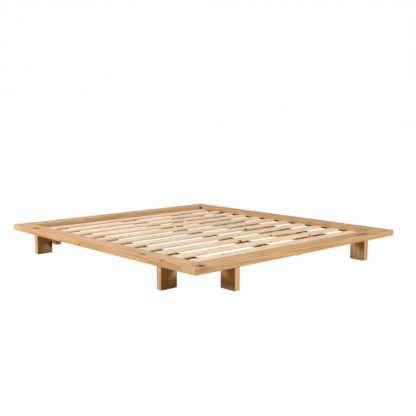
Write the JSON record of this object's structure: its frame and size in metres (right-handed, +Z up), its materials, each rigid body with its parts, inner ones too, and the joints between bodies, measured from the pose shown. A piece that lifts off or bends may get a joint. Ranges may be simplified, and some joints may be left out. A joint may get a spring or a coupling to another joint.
{
  "type": "bed frame",
  "caption": "Low slatted bed frame: flat oak boards form a wide rim on short plank legs, with pine slats recessed inside it to carry a mattress.",
  "frame": {"origin": "centre of the bed's outline on the floor plane", "axes": "+X to the right across the bed seen from the foot, +Y from foot to head, +Z up"},
  "size_m": [2.08, 2.28, 0.196],
  "materials": {
    "oak": "oiled oak, satin",
    "pine": "untreated planed pine, matt",
    "beam_pine": "planed softwood, matt",
    "beech": "fluted beech, raw",
    "steel_plate": "zinc plated sheet",
    "zinc_steel": "bright zinc",
    "brass": "machined",
    "felt": "pressed felt"
  },
  "bodies": {
    "root": {"beam_dowels": "beech", "centre_beam": "beam_pine", "centre_beam_screws": "zinc_steel", "corner_dowels": "beech", "corner_plate_left_foot": "steel_plate", "corner_plate_left_head": "steel_plate", "corner_plate_right_foot": "steel_plate", "corner_plate_right_head": "steel_plate", "corner_plate_screws": "zinc_steel", "felt_pad_foot_end_left": "felt", "felt_pad_foot_end_right": "felt", "felt_pad_head_end_left": "felt", "felt_pad_head_end_right": "felt", "felt_pad_left_side_foot": "felt", "felt_pad_left_side_head": "felt", "felt_pad_right_side_foot": "felt", "felt_pad_right_side_head": "felt", "foot_rail": "oak", "head_rail": "oak", "joint_plate_left_foot": "steel_plate", "joint_plate_left_head": "steel_plate", "joint_plate_right_foot": "steel_plate", "joint_plate_right_head": "steel_plate", "joint_plate_screws": "zinc_steel", "left_beam": "beam_pine", "left_side_rail": "oak", "leg_bolt_washers": "zinc_steel", "leg_bolts": "zinc_steel", "leg_foot_end_left": "oak", "leg_foot_end_right": "oak", "leg_head_end_left": "oak", "leg_head_end_right": "oak", "leg_insert_nuts": "brass", "leg_left_side_foot": "oak", "leg_left_side_head": "oak", "leg_right_side_foot": "oak", "leg_right_side_head": "oak", "right_beam": "beam_pine", "right_side_rail": "oak", "slat_01": "pine", "slat_02": "pine", "slat_03": "pine", "slat_04": "pine", "slat_05": "pine", "slat_06": "pine", "slat_07": "pine", "slat_08": "pine", "slat_09": "pine", "slat_10": "pine", "slat_11": "pine", "slat_screws_centre": "zinc_steel", "slat_screws_left": "zinc_steel", "slat_screws_right": "zinc_steel"}
  },
  "joints": []
}
